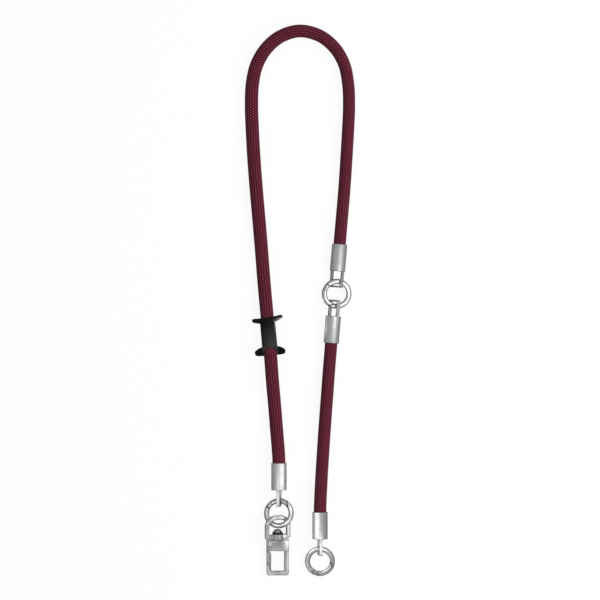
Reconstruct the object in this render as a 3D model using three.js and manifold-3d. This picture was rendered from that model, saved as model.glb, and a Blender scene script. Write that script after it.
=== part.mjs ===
// Phone crossbody strap: two lengths of thick braided rope, metal rope caps with square bails,
// three spring-gate rings, a swivel clasp and a black rope slider, laid flat on a surface.
//
// Millimetres. The strap lies in the XY plane with its underside at z = 0 and its length along Y.
// The origin is under the middle of the fittings, on the surface.

import * as THREE from 'three';
import { mergeVertices } from 'three/addons/utils/BufferGeometryUtils.js';
import Module from 'manifold-3d';

const wasm = await Module();
wasm.setup();

// ---------------------------------------------------------------- driving dimensions

const GAP = 0.3; // clearance between pieces that touch
const RUNNING_GAP = 0.4; // clearance round pieces that move
const RESTING_AXIS = 7.3; // height of a cap's axis when the cap lies on the surface

// Rope
const ROPE_RADIUS = 6.1;
const ROPE_SIDES = 12;
const MAIN_ROPE_STEPS = 48;
const SHORT_ROPE_STEPS = 12;

// Rope cap with its cast bail; the mouth is at y = 0 and the bail points along -y
const CAP_RADIUS = 7.3;
const CAP_LENGTH = 25.6;
const CAP_BORE_RADIUS = 6.45;
const CAP_BORE_DEPTH = 16;
const CAP_LIP = 0.4;
const CAP_SEGMENTS = 28;
const CRIMP_RADIUS = 1.1;
const CRIMP_DEPTH = 0.5;
const CRIMP_FROM_MOUTH = 5.8;
const BAIL_WIDTH = 14.4;
const BAIL_LENGTH = 15.6;
const BAIL_BAR = 1.95;
const BAIL_END_BAR = 2.3;
const BAIL_THICKNESS = 2.9;
const BAIL_CORNER = 1;
const BAIL_BEVEL = 0.35;
const BAIL_ROOT = 2; // how far the bail runs into the cap's solid end

// Spring-gate ring, in its own plane, with the hinge pin on the +x axis
const RING_MID_RADIUS = 11.85;
const RING_HALF_WIDTH = 2.45;
const RING_HALF_THICKNESS = 2.1;
const RING_CORNER = 1.5;
const RING_SEGMENTS = 48;
const RING_PIN_RADIUS = 0.8;
const RING_PIN_HALF_LENGTH = 2;
const GATE_SECTOR = 130; // degrees round the ring within which the gate lies
const SECTOR_RADIUS = 22; // beyond the ring's outer edge
const GATE_REACH = 17.1; // from the pin to the end of the gate's nose
const CHEEK_RADIUS = 2.5;
const TONGUE_RADIUS = 2.2;
const TONGUE_HALF_THICKNESS = 0.7;

// Clasp: its own frame has y along the swivel axis, y = 0 at the middle of the loop's crossbar
const LOOP_HALF_WIDTH = 12.9;
const LOOP_BAR = 4.2;
const LOOP_THICKNESS = 4;
const LOOP_TOP = 20.6;
const LOOP_BOTTOM = -1.7;
const LOOP_CORNER = 10.6;
const LOOP_BEVEL = 1.2;
const CROSSBAR_HEIGHT = 4.7;
const CROSSBAR_THICKNESS = 3.2;
const BOSS_RADIUS = 5.2;
const BOSS_TOP = 3.1;
const BOSS_BOTTOM = -2.6;
const SWIVEL_SHANK_RADIUS = 2.2;
const SWIVEL_SHANK_BOTTOM = -6;
const SWIVEL_HEAD_RADIUS = 5;
const SWIVEL_HEAD_HEIGHT = 4.1;
const PLATE_HALF_WIDTH = 10.8;
const PLATE_TOP = -3;
const PLATE_BOTTOM = -13.5;
const PLATE_HALF_THICKNESS = 2.6;
const PLATE_BEVEL = 0.5;
const FRAME_HALF_WIDTH = 10.7;
const FRAME_BOTTOM = -37.2;
const FRAME_HALF_THICKNESS = 2;
const FRAME_CORNER = 2.6;
const FRAME_BEVEL = 0.8;
const WINDOW_HALF_WIDTH = 6.1;
const WINDOW_BOTTOM = -32.9;
const CLASP_RIVET_RADIUS = 1.2;
const CLASP_RIVET_HALF_LENGTH = 2.8;
const CLASP_RIVET_Y = -6.6;
const GATE_RIVET_X = -7;
const FRAME_RIVET_X = 7.8;
const CLASP_TONGUE_HALF_THICKNESS = 0.75;
const CLASP_SLOT_HALF_THICKNESS = 1.05;
const CLASP_TONGUE_RADIUS = 2.4;
const CLASP_TONGUE_LEFT = -9.9; // edges of the tongue where it meets the gate
const CLASP_TONGUE_RIGHT = -6.9;
const CLASP_TONGUE_ROOT = 3; // how far the tongue runs into the gate
const SLOT_CORNER_X = -0.9; // lower right corner of the slot that the tongue swings in
const SHOULDER_OUTER_Y = -13.9; // top of the clasp gate at its outer and inner edge
const SHOULDER_INNER_Y = -15.7;
const SEAM_OUTER_Y = -23; // end of the clasp gate at its outer and inner edge
const SEAM_INNER_Y = -28.6;

// Rope slider, with its axis along y
const SLIDER_RADIUS = 7.3;
const SLIDER_BORE_RADIUS = 6.45;
const SLIDER_LENGTH = 31;
const SLIDER_SEGMENTS = 28;
const EAR_SPAN = 29;
const EAR_THICKNESS = 2.4;
const EAR_BEVEL = 0.8;
const EAR_FLARE = 2; // how far the ear tips sweep away from the body
const UPPER_EAR_LEAN = 14; // degrees that each pair of ears leans
const LOWER_EAR_LEAN = 30;

// Layout: where each fitting lies and how it is turned, in millimetres and degrees
const CAPS = [
  { name: 'left_end_cap', mouth: [-21.7, -50.2], heading: 0, roll: -98.5 },
  { name: 'upper_joint_cap', mouth: [36, 157.6], heading: -4.8, roll: -39 },
  { name: 'lower_joint_cap', mouth: [27.88, 63.9], heading: 175.2, roll: 54 },
  { name: 'right_end_cap', mouth: [17.3, -96.7], heading: 0, roll: 98.5 },
];
const RINGS = [
  { name: 'left_ring', centre: [-21.8, -97.88, 7.1], tilt: [-9, -10], turned: true, hinge: 139 },
  { name: 'joint_ring', centre: [33.1, 110.6, 6.9], tilt: [4, 9], turned: false, hinge: 147.5 },
  { name: 'right_ring', centre: [17.3, -143.9, 3.6], tilt: [6.6, 0], turned: false, hinge: -111 },
];
const CLASP = { centre: [-23, -120.3, 6.57], pitch: 7, loopRoll: 22 };
const SLIDER = { centre: [-31.4, 71], heading: 5 };

// Rope routes: points that the middle of each rope passes through
const MAIN_ROPE_ROUTE = [
  [-21.7, -64.4, 7.3],
  [-21.7, -49.4, 7.3],
  [-22.3, -38.4, 7.1],
  [-23.8, -20.4, 6.3],
  [-25.9, 5.6, 6.15],
  [-27.8, 26.6, 6.6],
  [-29.4, 48.1, 7.3],
  [-31.4, 71, 7.3],
  [-33.3, 92.9, 7.3],
  [-35.9, 121.6, 6.4],
  [-38.3, 152.1, 6.15],
  [-40.7, 180.6, 6.15],
  [-43.2, 209.1, 6.15],
  [-45.4, 237.6, 6.15],
  [-47, 266.1, 6.15],
  [-47.8, 289.6, 6.15],
  [-47, 309.6, 6.15],
  [-43, 327.8, 6.15],
  [-34, 343.4, 6.15],
  [-20.1, 355.2, 6.15],
  [-1.6, 360.4, 6.15],
  [17.2, 355.7, 6.15],
  [31.2, 344.4, 6.15],
  [40.3, 328.6, 6.15],
  [44.1, 309.6, 6.15],
  [44.9, 289.6, 6.15],
  [44, 266.1, 6.15],
  [42.3, 237.6, 6.15],
  [40.5, 210.6, 6.15],
  [38.2, 183.6, 6.7],
  [36.7, 166.6, 7.3],
  [35.9, 156.6, 7.3],
  [34.8, 143.4, 7.3],
];
const SHORT_ROPE_ROUTE = [
  [29.1, 78.4, 7.3],
  [27.9, 63.6, 7.3],
  [27.2, 54.6, 7.2],
  [26.2, 42.6, 6.6],
  [25.2, 29.6, 6.2],
  [24.2, 15.6, 6.15],
  [23.1, 1.6, 6.15],
  [22.1, -12.4, 6.15],
  [21.1, -26.4, 6.15],
  [20.2, -40.4, 6.15],
  [19.3, -54.4, 6.2],
  [18.5, -68.4, 6.6],
  [17.8, -82.4, 7.2],
  [17.4, -93.4, 7.3],
  [17.3, -110.7, 7.3],
];

// ---------------------------------------------------------------- materials

const finish = (color, roughness, metalness) =>
  new THREE.MeshStandardMaterial({ color, roughness, metalness });
const BRAID = finish(0x5a2033, 0.85, 0);
const SATIN_SILVER = finish(0xc6c8ca, 0.35, 1);
const NICKEL = finish(0xa9abad, 0.25, 1);
const DARK_NICKEL = finish(0x5c5d60, 0.3, 1);
const BLACK_RUBBER = finish(0x1b1c1e, 0.6, 0);

// ---------------------------------------------------------------- helpers

const radians = THREE.MathUtils.degToRad;
const strap = new THREE.Group();

function solid(geometry) {
  const bare = geometry.clone();
  bare.deleteAttribute('normal');
  bare.deleteAttribute('uv');
  const merged = mergeVertices(bare, 1e-4);
  const vertProperties = new Float32Array(merged.attributes.position.array);
  const triVerts = new Uint32Array(merged.index.array);
  return new wasm.Manifold(new wasm.Mesh({ numProp: 3, vertProperties, triVerts }));
}

function geometryOf(body) {
  const mesh = body.getMesh();
  const geometry = new THREE.BufferGeometry();
  geometry.setAttribute('position', new THREE.BufferAttribute(mesh.vertProperties, 3));
  geometry.setIndex(new THREE.BufferAttribute(mesh.triVerts, 1));
  return geometry;
}

function addMesh(parent, name, geometry, material) {
  const mesh = new THREE.Mesh(geometry, material);
  mesh.name = name;
  parent.add(mesh);
  return mesh;
}

function addGroup(parent) {
  const group = new THREE.Group();
  parent.add(group);
  return group;
}

// Flat shape through corner points, as a plate of the given thickness centred on z = 0
function plate(corners, thickness) {
  const shape = new THREE.Shape(corners.map(([x, y]) => new THREE.Vector2(x, y)));
  const geometry = new THREE.ExtrudeGeometry(shape, { depth: thickness, bevelEnabled: false });
  return solid(geometry.translate(0, 0, -thickness / 2));
}

// Shape as a plate with rounded edges, centred on z = 0; its outline keeps the shape's own size
function softPlate(shape, thickness, bevel, curveSegments = 6) {
  const geometry = new THREE.ExtrudeGeometry(shape, {
    depth: thickness - 2 * bevel,
    bevelEnabled: true,
    bevelThickness: bevel,
    bevelSize: bevel,
    bevelOffset: -bevel,
    bevelSegments: 2,
    curveSegments,
  });
  return geometry.translate(0, 0, -thickness / 2 + bevel);
}

// Disc with its axis along z
function disc(x, y, radius, thickness, segments = 24) {
  const geometry = new THREE.CylinderGeometry(radius, radius, thickness, segments);
  return solid(geometry.rotateX(Math.PI / 2).translate(x, y, 0));
}

// Rod with its axis along y
function rod(radius, bottom, top, segments = 24) {
  const geometry = new THREE.CylinderGeometry(radius, radius, top - bottom, segments);
  return solid(geometry.translate(0, (top + bottom) / 2, 0));
}

// Rounded rectangle of half sizes a and b as a closed profile round (x, y)
function roundedProfile(x, y, a, b, corner) {
  const quarters = [[1, -1, -90], [1, 1, 0], [-1, 1, 90], [-1, -1, 180]];
  const points = [];
  for (const [sideX, sideY, start] of quarters) {
    for (const step of [0, 45, 90]) {
      const angle = radians(start + step);
      const px = x + sideX * (a - corner) + corner * Math.cos(angle);
      const py = y + sideY * (b - corner) + corner * Math.sin(angle);
      points.push(new THREE.Vector2(px, py));
    }
  }
  points.push(points[0].clone());
  return points;
}

// ---------------------------------------------------------------- ropes

function ropeGeometry(route, steps) {
  const section = new THREE.Shape();
  for (let side = 0; side < ROPE_SIDES; side += 1) {
    const angle = (2 * Math.PI * side) / ROPE_SIDES;
    const x = ROPE_RADIUS * Math.cos(angle);
    const y = ROPE_RADIUS * Math.sin(angle);
    if (side === 0) section.moveTo(x, y);
    else section.lineTo(x, y);
  }
  section.closePath();
  const points = route.map(([x, y, z]) => new THREE.Vector3(x, y, z));
  const path = new THREE.CatmullRomCurve3(points, false, 'centripetal');
  return new THREE.ExtrudeGeometry(section, { steps, extrudePath: path });
}

// ---------------------------------------------------------------- rope caps

function capGeometry() {
  const cup = [
    [0, -CAP_LENGTH],
    [CAP_RADIUS - CAP_LIP, -CAP_LENGTH],
    [CAP_RADIUS, -CAP_LENGTH + CAP_LIP],
    [CAP_RADIUS, -CAP_LIP],
    [CAP_RADIUS - CAP_LIP, 0],
    [CAP_BORE_RADIUS, 0],
    [CAP_BORE_RADIUS, -CAP_BORE_DEPTH],
    [0, -CAP_BORE_DEPTH],
  ].map(([x, y]) => new THREE.Vector2(x, y));
  let cap = solid(new THREE.LatheGeometry(cup, CAP_SEGMENTS));

  const half = BAIL_WIDTH / 2;
  const root = -CAP_LENGTH + BAIL_ROOT;
  const end = -CAP_LENGTH - BAIL_LENGTH;
  const bail = new THREE.Shape();
  bail.moveTo(-half, root);
  bail.lineTo(-half, end + BAIL_CORNER);
  bail.absarc(-half + BAIL_CORNER, end + BAIL_CORNER, BAIL_CORNER, Math.PI, 1.5 * Math.PI);
  bail.lineTo(half - BAIL_CORNER, end);
  bail.absarc(half - BAIL_CORNER, end + BAIL_CORNER, BAIL_CORNER, 1.5 * Math.PI, 2 * Math.PI);
  bail.lineTo(half, root);
  bail.lineTo(half - BAIL_BAR, root);
  bail.lineTo(half - BAIL_BAR, end + BAIL_END_BAR);
  bail.lineTo(-half + BAIL_BAR, end + BAIL_END_BAR);
  bail.lineTo(-half + BAIL_BAR, root);
  bail.closePath();
  cap = cap.add(solid(softPlate(bail, BAIL_THICKNESS, BAIL_BEVEL, 3)));

  const crimp = disc(0, -CRIMP_FROM_MOUTH, CRIMP_RADIUS, 2 * CRIMP_DEPTH, 12);
  return geometryOf(cap.subtract(crimp.translate([0, 0, -CAP_RADIUS])));
}

function addCaps() {
  const geometry = capGeometry();
  for (const { name, mouth, heading, roll } of CAPS) {
    const seat = addGroup(strap);
    seat.position.set(mouth[0], mouth[1], RESTING_AXIS);
    seat.rotation.z = radians(heading);
    const cap = addMesh(seat, name, geometry, SATIN_SILVER);
    cap.rotation.y = radians(roll);
  }
}

// ---------------------------------------------------------------- spring-gate rings

// Sector of the ring's plane that starts at the pin's radius and ends at the gate's nose
function gateZone(reach, thickness) {
  const corners = [[0, 0]];
  for (let step = 0; step <= 5; step += 1) {
    const angle = radians((GATE_SECTOR * step) / 5);
    corners.push([SECTOR_RADIUS * Math.cos(angle), SECTOR_RADIUS * Math.sin(angle)]);
  }
  const nose = disc(RING_MID_RADIUS, 0, reach, thickness, 48);
  return plate(corners, thickness).intersect(nose);
}

function ringGeometries() {
  const profile = roundedProfile(
    RING_MID_RADIUS, 0, RING_HALF_WIDTH, RING_HALF_THICKNESS, RING_CORNER);
  const whole = solid(new THREE.LatheGeometry(profile, RING_SEGMENTS).rotateX(Math.PI / 2));
  const deep = 3 * RING_HALF_THICKNESS;
  const pinDisc = (radius, thickness) => disc(RING_MID_RADIUS, 0, radius, thickness);
  const pinHole = pinDisc(RING_PIN_RADIUS + GAP, deep);
  const slotDepth = 2 * (TONGUE_HALF_THICKNESS + GAP);
  const tongueDepth = 2 * TONGUE_HALF_THICKNESS;

  const opening = gateZone(GATE_REACH + RUNNING_GAP, deep).subtract(pinDisc(CHEEK_RADIUS, deep));
  const slot = gateZone(GATE_REACH + RUNNING_GAP, slotDepth)
    .add(pinDisc(TONGUE_RADIUS + RUNNING_GAP, slotDepth));
  const body = whole.subtract(opening).subtract(slot).subtract(pinHole);

  const arm = gateZone(GATE_REACH, deep).subtract(pinDisc(CHEEK_RADIUS + RUNNING_GAP, deep));
  const tongue = gateZone(2 * CHEEK_RADIUS, tongueDepth).add(pinDisc(TONGUE_RADIUS, tongueDepth));
  const gate = whole.intersect(arm.add(tongue)).subtract(pinHole);

  const pin = pinDisc(RING_PIN_RADIUS, 2 * RING_PIN_HALF_LENGTH);
  return { body: geometryOf(body), gate: geometryOf(gate), pin: geometryOf(pin) };
}

function addRings() {
  const shapes = ringGeometries();
  for (const { name, centre, tilt, turned, hinge } of RINGS) {
    const seat = addGroup(strap);
    seat.position.set(...centre);
    seat.rotation.set(radians(tilt[0]), radians(tilt[1]), 0);
    const side = addGroup(seat);
    side.rotation.x = turned ? Math.PI : 0;
    const spin = addGroup(side);
    spin.rotation.z = radians(turned ? -hinge : hinge);
    addMesh(spin, name, shapes.body, NICKEL);
    addMesh(spin, `${name}_gate`, shapes.gate, NICKEL);
    addMesh(spin, `${name}_pin`, shapes.pin, DARK_NICKEL);
  }
}

// ---------------------------------------------------------------- clasp

function loopGeometry() {
  const outer = LOOP_HALF_WIDTH;
  const inner = LOOP_HALF_WIDTH - LOOP_BAR;
  const innerCorner = LOOP_CORNER - LOOP_BAR;
  const arcY = LOOP_TOP - LOOP_CORNER;
  const foot = LOOP_BAR / 2;
  const bend = new THREE.Shape();
  bend.moveTo(-outer, LOOP_BOTTOM + foot);
  bend.absarc(-outer + foot, LOOP_BOTTOM + foot, foot, Math.PI, 2 * Math.PI);
  bend.lineTo(-inner, arcY);
  bend.absarc(-inner + innerCorner, arcY, innerCorner, Math.PI, Math.PI / 2, true);
  bend.absarc(inner - innerCorner, arcY, innerCorner, Math.PI / 2, 0, true);
  bend.lineTo(inner, LOOP_BOTTOM + foot);
  bend.absarc(inner + foot, LOOP_BOTTOM + foot, foot, Math.PI, 2 * Math.PI);
  bend.lineTo(outer, arcY);
  bend.absarc(outer - LOOP_CORNER, arcY, LOOP_CORNER, 0, Math.PI / 2);
  bend.absarc(-outer + LOOP_CORNER, arcY, LOOP_CORNER, Math.PI / 2, Math.PI);
  bend.closePath();
  const bar = new THREE.BoxGeometry(2 * inner + LOOP_BAR, CROSSBAR_HEIGHT, CROSSBAR_THICKNESS);
  const loop = solid(softPlate(bend, LOOP_THICKNESS, LOOP_BEVEL, 7))
    .add(solid(bar))
    .add(rod(BOSS_RADIUS, BOSS_BOTTOM, BOSS_TOP))
    .subtract(rod(SWIVEL_SHANK_RADIUS + GAP, BOSS_BOTTOM - 1, BOSS_TOP + 1));
  return geometryOf(loop);
}

function swivelPinGeometry() {
  const seat = BOSS_TOP + GAP;
  const dome = [
    [1, 0],
    [1.02, 0.12],
    [0.88, 0.4],
    [0.68, 0.7],
    [0.42, 0.9],
    [0.18, 0.98],
    [0, 1],
  ].map(([r, h]) => [SWIVEL_HEAD_RADIUS * r, seat + SWIVEL_HEAD_HEIGHT * h]);
  const profile = [
    [0, SWIVEL_SHANK_BOTTOM],
    [SWIVEL_SHANK_RADIUS, SWIVEL_SHANK_BOTTOM],
    [SWIVEL_SHANK_RADIUS, seat],
    ...dome,
  ].map(([x, y]) => new THREE.Vector2(x, y));
  return new THREE.LatheGeometry(profile, 24);
}

// The rectangular bow: both legs and the bottom bar, before the gate is parted from it
function bowSolid() {
  const top = (PLATE_TOP + PLATE_BOTTOM) / 2;
  const bow = new THREE.Shape();
  bow.moveTo(-FRAME_HALF_WIDTH, top);
  bow.lineTo(-FRAME_HALF_WIDTH, FRAME_BOTTOM + FRAME_CORNER);
  bow.absarc(-FRAME_HALF_WIDTH + FRAME_CORNER, FRAME_BOTTOM + FRAME_CORNER, FRAME_CORNER,
    Math.PI, 1.5 * Math.PI);
  bow.absarc(FRAME_HALF_WIDTH - FRAME_CORNER, FRAME_BOTTOM + FRAME_CORNER, FRAME_CORNER,
    1.5 * Math.PI, 2 * Math.PI);
  bow.lineTo(FRAME_HALF_WIDTH, top);
  bow.lineTo(WINDOW_HALF_WIDTH, top);
  bow.lineTo(WINDOW_HALF_WIDTH, WINDOW_BOTTOM);
  bow.lineTo(-WINDOW_HALF_WIDTH, WINDOW_BOTTOM);
  bow.lineTo(-WINDOW_HALF_WIDTH, top);
  bow.closePath();
  return solid(softPlate(bow, 2 * FRAME_HALF_THICKNESS, FRAME_BEVEL, 4));
}

// Height of the slanting seam at x, carried on in a straight line past both edges of the leg
function seamHeight(x) {
  const slope = (SEAM_INNER_Y - SEAM_OUTER_Y) / (FRAME_HALF_WIDTH - WINDOW_HALF_WIDTH);
  return SEAM_OUTER_Y + slope * (x + FRAME_HALF_WIDTH);
}

function claspFrameGeometry(bow) {
  const left = -FRAME_HALF_WIDTH - 1;
  const right = -WINDOW_HALF_WIDTH + 1;
  const deep = 4 * PLATE_HALF_THICKNESS;
  const seamGap = 2 * GAP; // measured up and down, across the slant
  const legGap = plate([
    [left, PLATE_TOP],
    [left, seamHeight(left) - seamGap],
    [right, seamHeight(right) - seamGap],
    [right, PLATE_TOP],
  ], deep);
  const face = new THREE.Shape();
  face.moveTo(-PLATE_HALF_WIDTH, PLATE_TOP);
  face.lineTo(-PLATE_HALF_WIDTH, PLATE_BOTTOM);
  face.lineTo(PLATE_HALF_WIDTH, PLATE_BOTTOM);
  face.lineTo(PLATE_HALF_WIDTH, PLATE_TOP);
  face.closePath();
  const block = solid(softPlate(face, 2 * PLATE_HALF_THICKNESS, PLATE_BEVEL));

  // The tongue's slot opens to the left and below, and widens to the right for its swing
  const slotRadius = CLASP_TONGUE_RADIUS + RUNNING_GAP;
  const slotDepth = 2 * CLASP_SLOT_HALF_THICKNESS;
  const slot = plate([
    [-PLATE_HALF_WIDTH - 1, CLASP_RIVET_Y + slotRadius],
    [-PLATE_HALF_WIDTH - 1, PLATE_BOTTOM - 1],
    [SLOT_CORNER_X, PLATE_BOTTOM - 1],
    [GATE_RIVET_X + slotRadius, CLASP_RIVET_Y],
    [GATE_RIVET_X, CLASP_RIVET_Y + slotRadius],
  ], slotDepth).add(disc(GATE_RIVET_X, CLASP_RIVET_Y, slotRadius, slotDepth));

  const rivetHole = CLASP_RIVET_RADIUS + GAP;
  const frame = bow.subtract(legGap).add(block)
    .subtract(slot)
    .subtract(disc(GATE_RIVET_X, CLASP_RIVET_Y, rivetHole, deep))
    .subtract(disc(FRAME_RIVET_X, CLASP_RIVET_Y, rivetHole, deep))
    .subtract(rod(SWIVEL_SHANK_RADIUS + GAP, SWIVEL_SHANK_BOTTOM - GAP, PLATE_TOP + 1));
  return geometryOf(frame);
}

function claspGateGeometry(bow) {
  const left = -FRAME_HALF_WIDTH - 1;
  const right = -WINDOW_HALF_WIDTH + 1;
  const legWidth = FRAME_HALF_WIDTH - WINDOW_HALF_WIDTH;
  const shoulderSlope = (SHOULDER_INNER_Y - SHOULDER_OUTER_Y) / legWidth;
  const shoulderHeight = (x) => SHOULDER_OUTER_Y + shoulderSlope * (x + FRAME_HALF_WIDTH);
  const leg = bow.intersect(plate([
    [left, shoulderHeight(left)],
    [left, seamHeight(left)],
    [right, seamHeight(right)],
    [right, shoulderHeight(right)],
  ], 4 * PLATE_HALF_THICKNESS));
  const tongueDepth = 2 * CLASP_TONGUE_HALF_THICKNESS;
  const tongueEnd = SHOULDER_OUTER_Y - CLASP_TONGUE_ROOT;
  const tongue = plate([
    [GATE_RIVET_X - CLASP_TONGUE_RADIUS + GAP, CLASP_RIVET_Y],
    [CLASP_TONGUE_LEFT, tongueEnd],
    [CLASP_TONGUE_RIGHT, tongueEnd],
    [GATE_RIVET_X + CLASP_TONGUE_RADIUS - GAP, CLASP_RIVET_Y],
  ], tongueDepth).add(disc(GATE_RIVET_X, CLASP_RIVET_Y, CLASP_TONGUE_RADIUS, tongueDepth));
  const rivetHole = disc(GATE_RIVET_X, CLASP_RIVET_Y, CLASP_RIVET_RADIUS + GAP, 4);
  return geometryOf(leg.add(tongue).subtract(rivetHole));
}

function addClasp() {
  const clasp = addGroup(strap);
  clasp.position.set(...CLASP.centre);
  clasp.rotation.x = radians(CLASP.pitch);
  const loop = addMesh(clasp, 'clasp_loop', loopGeometry(), NICKEL);
  loop.rotation.y = radians(CLASP.loopRoll);
  addMesh(clasp, 'swivel_pin', swivelPinGeometry(), DARK_NICKEL);

  const bow = bowSolid();
  addMesh(clasp, 'clasp_frame', claspFrameGeometry(bow), NICKEL);
  addMesh(clasp, 'clasp_gate', claspGateGeometry(bow), NICKEL);

  const rivets = [['clasp_gate_rivet', GATE_RIVET_X], ['clasp_frame_rivet', FRAME_RIVET_X]];
  for (const [name, x] of rivets) {
    const rivet = disc(x, CLASP_RIVET_Y, CLASP_RIVET_RADIUS, 2 * CLASP_RIVET_HALF_LENGTH, 16);
    addMesh(clasp, name, geometryOf(rivet), DARK_NICKEL);
  }
}

// ---------------------------------------------------------------- rope slider

// One pair of ears: an oval plate across the axis, swept away from the body and leaning back
function earSolid(endward, lean) {
  const oval = new THREE.Shape();
  oval.absellipse(0, 0, EAR_SPAN / 2, SLIDER_RADIUS, 0, 2 * Math.PI);
  const geometry = softPlate(oval, EAR_THICKNESS, EAR_BEVEL, 16);
  geometry.rotateX(Math.PI / 2);
  const place = geometry.attributes.position;
  const slope = Math.tan(radians(lean));
  for (let index = 0; index < place.count; index += 1) {
    const outward = place.getX(index) / (EAR_SPAN / 2);
    const sweep = endward * EAR_FLARE * outward * outward;
    place.setY(index, place.getY(index) + sweep + slope * place.getZ(index));
  }
  return solid(geometry);
}

// What is cut off the lower end of the slider's body, so that it ends along its leaning ears
function lowerEndWedge() {
  const end = -SLIDER_LENGTH / 2;
  const reach = SLIDER_RADIUS + 1;
  const top = end + Math.tan(radians(LOWER_EAR_LEAN)) * reach;
  return plate([[0, end], [0, end - 1], [reach, end - 1], [reach, top]], 2 * reach)
    .rotate([0, -90, 0]);
}

function sliderGeometry() {
  const half = SLIDER_LENGTH / 2;
  const earY = half - EAR_THICKNESS / 2;
  const slider = rod(SLIDER_RADIUS, -half, half, SLIDER_SEGMENTS)
    .subtract(lowerEndWedge())
    .add(earSolid(1, UPPER_EAR_LEAN).translate([0, earY, 0]))
    .add(earSolid(-1, LOWER_EAR_LEAN).translate([0, -earY, 0]))
    .subtract(rod(SLIDER_BORE_RADIUS, -SLIDER_LENGTH, SLIDER_LENGTH, SLIDER_SEGMENTS));
  return geometryOf(slider);
}

// ---------------------------------------------------------------- assembly

addMesh(strap, 'main_rope', ropeGeometry(MAIN_ROPE_ROUTE, MAIN_ROPE_STEPS), BRAID);
addMesh(strap, 'short_rope', ropeGeometry(SHORT_ROPE_ROUTE, SHORT_ROPE_STEPS), BRAID);
addCaps();
addRings();
addClasp();

const slider = addMesh(strap, 'rope_slider', sliderGeometry(), BLACK_RUBBER);
slider.position.set(SLIDER.centre[0], SLIDER.centre[1], RESTING_AXIS);
slider.rotation.z = radians(SLIDER.heading);

export default strap;
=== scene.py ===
# Looks of the phone crossbody strap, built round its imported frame.
# Lengths are in millimetres and turned into metres by MM where Blender takes them.

import math

import bpy
from mathutils import Matrix, Vector


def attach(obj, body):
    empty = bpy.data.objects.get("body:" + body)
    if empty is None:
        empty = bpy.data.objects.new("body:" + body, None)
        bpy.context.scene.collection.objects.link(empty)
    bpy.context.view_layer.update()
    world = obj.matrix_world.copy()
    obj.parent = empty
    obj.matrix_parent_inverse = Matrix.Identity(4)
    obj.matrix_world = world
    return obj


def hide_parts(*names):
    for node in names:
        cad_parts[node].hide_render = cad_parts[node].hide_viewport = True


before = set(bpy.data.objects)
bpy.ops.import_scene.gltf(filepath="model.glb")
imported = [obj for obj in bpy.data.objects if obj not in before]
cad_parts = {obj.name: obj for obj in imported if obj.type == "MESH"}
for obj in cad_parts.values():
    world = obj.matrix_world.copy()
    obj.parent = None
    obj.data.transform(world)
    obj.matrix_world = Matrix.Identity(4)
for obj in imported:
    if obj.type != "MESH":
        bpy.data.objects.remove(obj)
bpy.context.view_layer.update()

MM = 0.001
SIDES = 96  # round the turned pieces
CLOSE = 0.1  # points that are nearer than this count as level
HAIR = 0.01  # the same, where the points lie closer together
ROUND_END = (20, 40, 58, 73, 85)  # degrees at which a half-round end is drawn
CUTTER_SPARE = 1  # how far a cutter reaches past what it cuts
CUTTER_THICKNESS = 12  # more than any piece that it cuts

# Rope
ROPE_RADIUS = 6.1
BRAID_CELLS = 16  # crossings of the braid round the rope
CELL_LENGTH = 2.6  # one crossing, along the rope
SIDES_PER_CELL = 5
RINGS_PER_CELL = 4
ROPE_SIDES = BRAID_CELLS * SIDES_PER_CELL
BRAID_RELIEF = 0.28
RELIEF_AT_RADIUS = 0.7  # the share of the relief that lies at the rope's radius
STEPS_PER_POINT = 40  # of the smooth curve, between two points of a route
PATH_STEP = 4  # rings between the points that the cord's path is given by
WIDER_PER_MM = 0.001  # the rope's width grows by this share for each millimetre to the left
MAIN_ROPE_ROUTE = [
    (-21.7, -64.4, 7.3), (-21.7, -49.4, 7.3), (-22.3, -38.4, 7.1), (-23.8, -20.4, 6.3),
    (-25.9, 5.6, 6.15), (-27.8, 26.6, 6.6), (-29.4, 48.1, 7.3), (-31.4, 71, 7.3),
    (-33.3, 92.9, 7.3), (-35.9, 121.6, 6.4), (-38.3, 152.1, 6.15), (-40.7, 180.6, 6.15),
    (-43.2, 209.1, 6.15), (-45.4, 237.6, 6.15), (-47, 266.1, 6.15), (-47.8, 289.6, 6.15),
    (-47, 309.6, 6.15), (-43, 327.8, 6.15), (-34, 343.4, 6.15), (-20.1, 355.2, 6.15),
    (-1.6, 360.4, 6.15), (17.2, 355.7, 6.15), (31.2, 344.4, 6.15), (40.3, 328.6, 6.15),
    (44.1, 309.6, 6.15), (44.9, 289.6, 6.15), (44, 266.1, 6.15), (42.3, 237.6, 6.15),
    (40.5, 210.6, 6.15), (38.2, 183.6, 6.7), (36.7, 166.6, 7.3), (35.9, 156.6, 7.3),
    (34.8, 143.4, 7.3),
]
SHORT_ROPE_ROUTE = [
    (29.1, 78.4, 7.3), (27.9, 63.6, 7.3), (27.2, 54.6, 7.2), (26.2, 42.6, 6.6),
    (25.2, 29.6, 6.2), (24.2, 15.6, 6.15), (23.1, 1.6, 6.15), (22.1, -12.4, 6.15),
    (21.1, -26.4, 6.15), (20.2, -40.4, 6.15), (19.3, -54.4, 6.2), (18.5, -68.4, 6.6),
    (17.8, -82.4, 7.2), (17.4, -93.4, 7.3), (17.3, -110.7, 7.3),
]

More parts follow.
